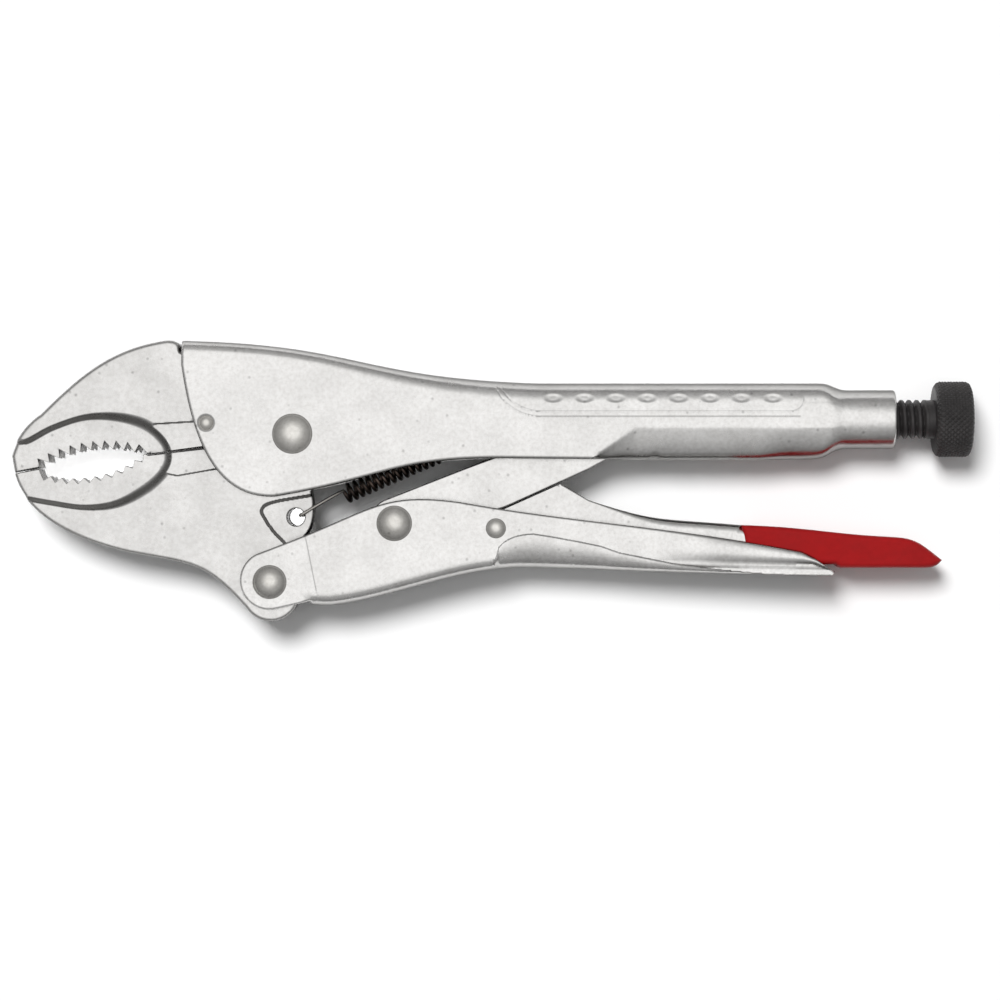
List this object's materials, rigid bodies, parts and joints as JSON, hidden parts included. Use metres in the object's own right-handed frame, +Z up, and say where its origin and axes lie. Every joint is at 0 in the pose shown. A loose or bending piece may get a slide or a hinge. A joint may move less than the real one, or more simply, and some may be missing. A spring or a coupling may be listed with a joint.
{
  "type": "locking pliers",
  "caption": "Curved-jaw locking pliers with toothed jaws, wire cutter, toggle link, tension spring, adjusting screw and coated release lever.",
  "frame": {"origin": "centre of the bounding box's bottom face, with the tool lying on its side", "axes": "+X from the jaws to the adjusting knob, +Y from the lower handle to the upper handle, +Z up, through the tool's thickness"},
  "size_m": [0.25, 0.0729, 0.0198],
  "materials": {
    "nickel_sheet": "satin nickel plate",
    "nickel_forging": "satin nickel plate on a forging",
    "rivet_steel": "polished",
    "red_coating": "satin",
    "black_steel": "black oxide",
    "spring_steel": "dark spring wire"
  },
  "bodies": {
    "upper_handle": {"upper_handle": "nickel_sheet", "fixed_jaw": "nickel_forging", "jaw_pin": "rivet_steel", "jaw_rivet": "rivet_steel", "tension_spring": "spring_steel"},
    "moving_jaw": {"moving_jaw": "nickel_forging"},
    "lower_handle": {"lower_handle": "nickel_sheet", "handle_rivet": "rivet_steel", "link_rivet": "rivet_steel", "lever_rivet": "rivet_steel"},
    "toggle_link": {"toggle_link": "nickel_forging"},
    "release_lever": {"release_lever": "nickel_sheet", "lever_sleeve": "red_coating"},
    "adjusting_screw": {"adjusting_screw": "black_steel"},
    "adjusting_knob": {"adjusting_knob": "black_steel"}
  },
  "joints": [
    {"name": "jaw_hinge", "type": "hinge", "parent": "upper_handle", "child": "moving_jaw", "pos_m": [-0.0515, 0.0122, 0.0099], "axis": [0, 0, 1], "range_deg": [0, 18], "deforming": ["tension_spring"]},
    {"name": "handle_hinge", "type": "hinge", "parent": "moving_jaw", "child": "lower_handle", "pos_m": [-0.0574, -0.0262, 0.0099], "axis": [0, 0, 1], "range_deg": [-57.6, 0]},
    {"name": "link_hinge", "type": "hinge", "parent": "lower_handle", "child": "toggle_link", "pos_m": [-0.0251, -0.011, 0.0099], "axis": [0, 0, 1], "range_deg": [0, 63.8]},
    {"name": "lever_hinge", "type": "hinge", "parent": "lower_handle", "child": "release_lever", "pos_m": [0.0012, -0.0123, 0.0099], "axis": [0, 0, 1], "range_deg": [0, 10.9]},
    {"name": "screw_slide", "type": "slide", "parent": "upper_handle", "child": "adjusting_screw", "axis": [1, 0, 0], "range_m": [0, 0.016]},
    {"name": "knob_turn", "type": "hinge", "parent": "adjusting_screw", "child": "adjusting_knob", "pos_m": [0.12, 0.0161, 0.0099], "axis": [1, 0, 0], "range_deg": [0, 2880]}
  ],
  "couplings": [
    {"joint": "handle_hinge", "follows": "jaw_hinge", "ratio": -3.192},
    {"joint": "link_hinge", "follows": "jaw_hinge", "ratio": 3.539},
    {"joint": "lever_hinge", "follows": "jaw_hinge", "ratio": 0.6},
    {"joint": "knob_turn", "follows": "screw_slide", "rad_per_m": 3141.5}
  ]
}
